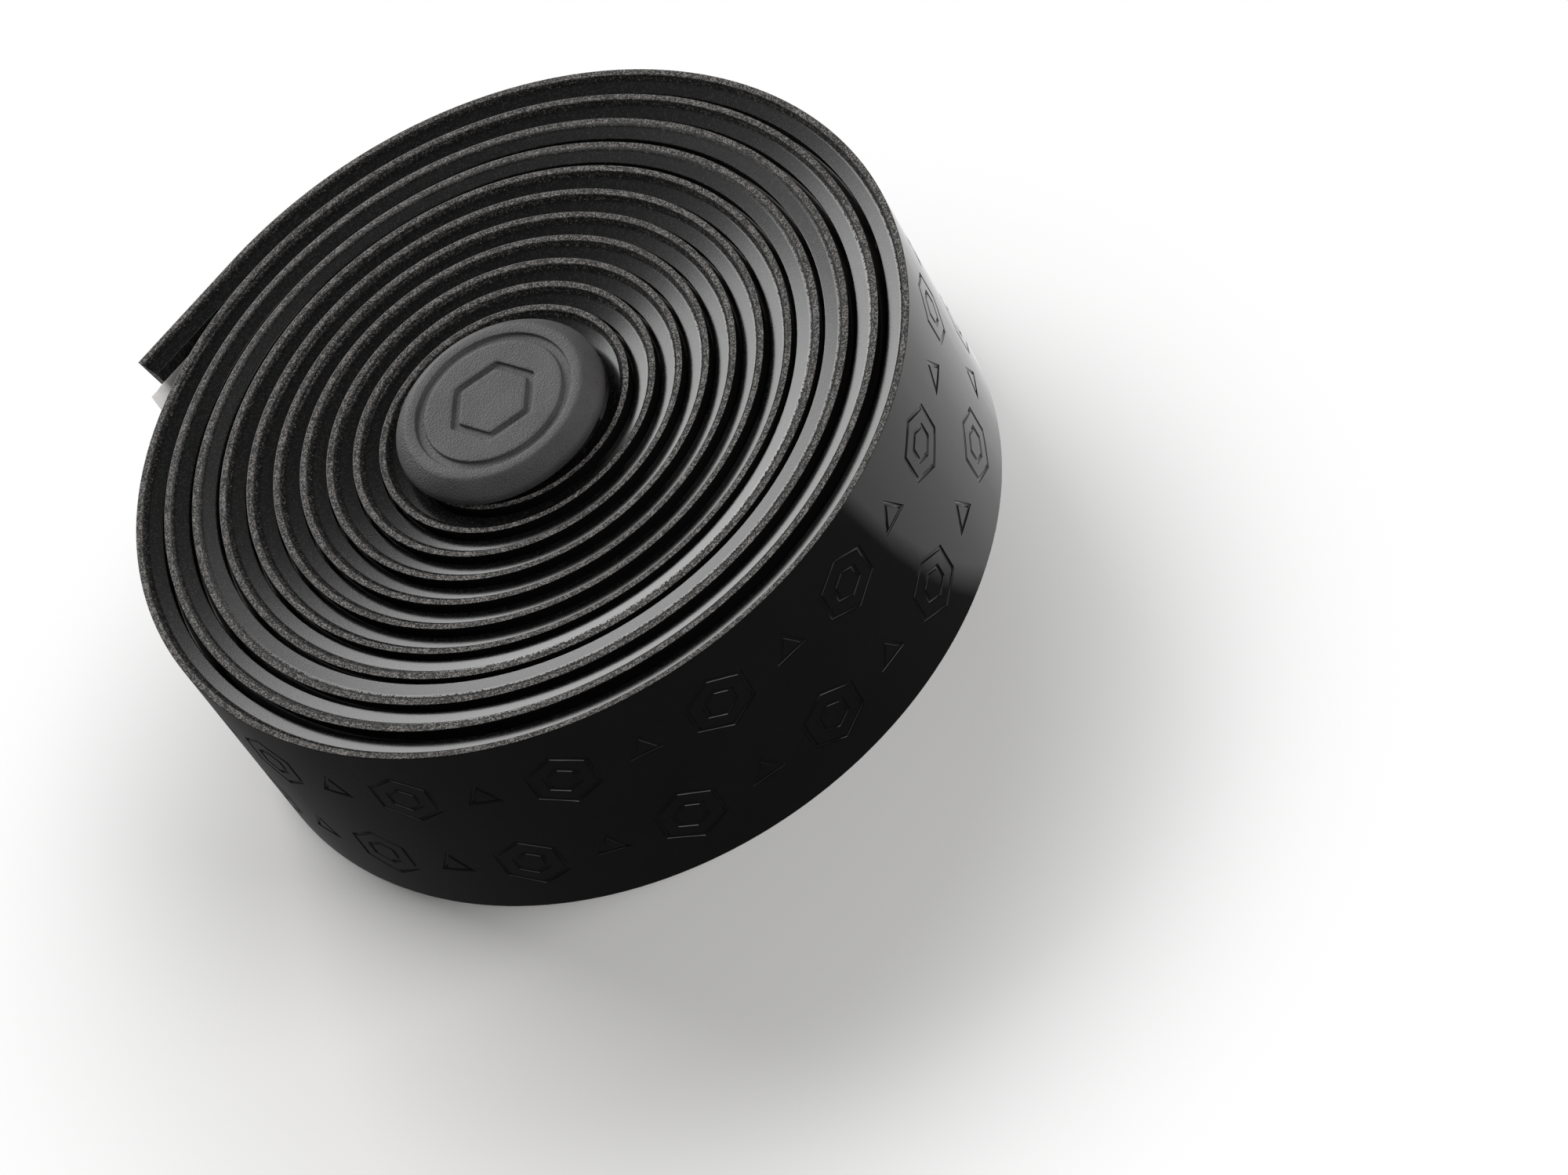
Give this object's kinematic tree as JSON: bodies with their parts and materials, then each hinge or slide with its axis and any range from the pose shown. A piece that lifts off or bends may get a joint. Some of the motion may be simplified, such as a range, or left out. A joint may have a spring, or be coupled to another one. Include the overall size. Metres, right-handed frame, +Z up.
{
  "type": "handlebar tape roll",
  "caption": "Roll of padded bicycle handlebar tape lying flat, its end springing free with the release liner showing, and a round bar-end plug pushed into the core.",
  "frame": {"origin": "on the surface that the roll lies on, under the middle of its outline seen from above", "axes": "+Z up along the winding axis, towards the plug's head; the free end leaves the roll on the +Y side and points towards -X"},
  "size_m": [0.0944, 0.0962, 0.0329],
  "materials": {
    "tape": "near-black polyurethane skin with a low gloss over dark foam",
    "liner": "whitish translucent release film, satin",
    "plug": "dark grey moulded rubber, matte with a fine grain"
  },
  "bodies": {
    "root": {"tape": "tape", "release_liner": "liner", "bar_end_plug": "plug"}
  },
  "joints": []
}
